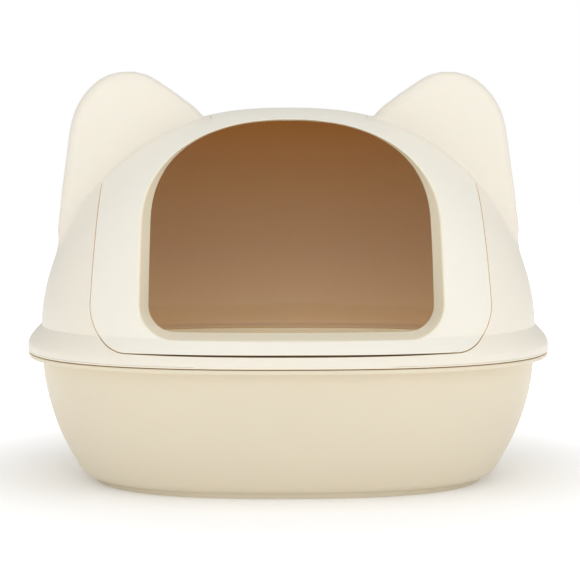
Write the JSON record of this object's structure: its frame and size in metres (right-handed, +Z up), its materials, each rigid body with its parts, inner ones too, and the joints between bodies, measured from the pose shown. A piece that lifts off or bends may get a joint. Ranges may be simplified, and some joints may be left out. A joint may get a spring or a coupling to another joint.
{
  "type": "hooded cat litter box",
  "caption": "Hooded litter box shaped like a cat's head: a deep tray, a domed hood with hollow ears and a flip-up front door with the arched entrance in it.",
  "frame": {"origin": "on the floor under the middle of the overall box", "axes": "+Z up, -Y towards the entrance, +X to the viewer's right when facing the entrance"},
  "size_m": [0.5157, 0.4096, 0.4011],
  "materials": {
    "tray_plastic": "fine satin moulded",
    "hood_plastic": "fine satin moulded",
    "door_plastic": "fine satin moulded",
    "pin_plastic": "smooth moulded"
  },
  "bodies": {
    "tray": {"litter_tray": "tray_plastic"},
    "hood": {"hood": "hood_plastic", "hinge_pin_left": "pin_plastic", "hinge_pin_right": "pin_plastic"},
    "door": {"front_door": "door_plastic"}
  },
  "joints": [
    {"name": "hood_lift", "type": "slide", "parent": "tray", "child": "hood", "axis": [0, 0, 1], "range_m": [0, 0.15]},
    {"name": "door_hinge", "type": "hinge", "parent": "hood", "child": "door", "pos_m": [0, 0.008, 0.3573], "axis": [-1, 0, 0], "range_deg": [0, 105]}
  ]
}
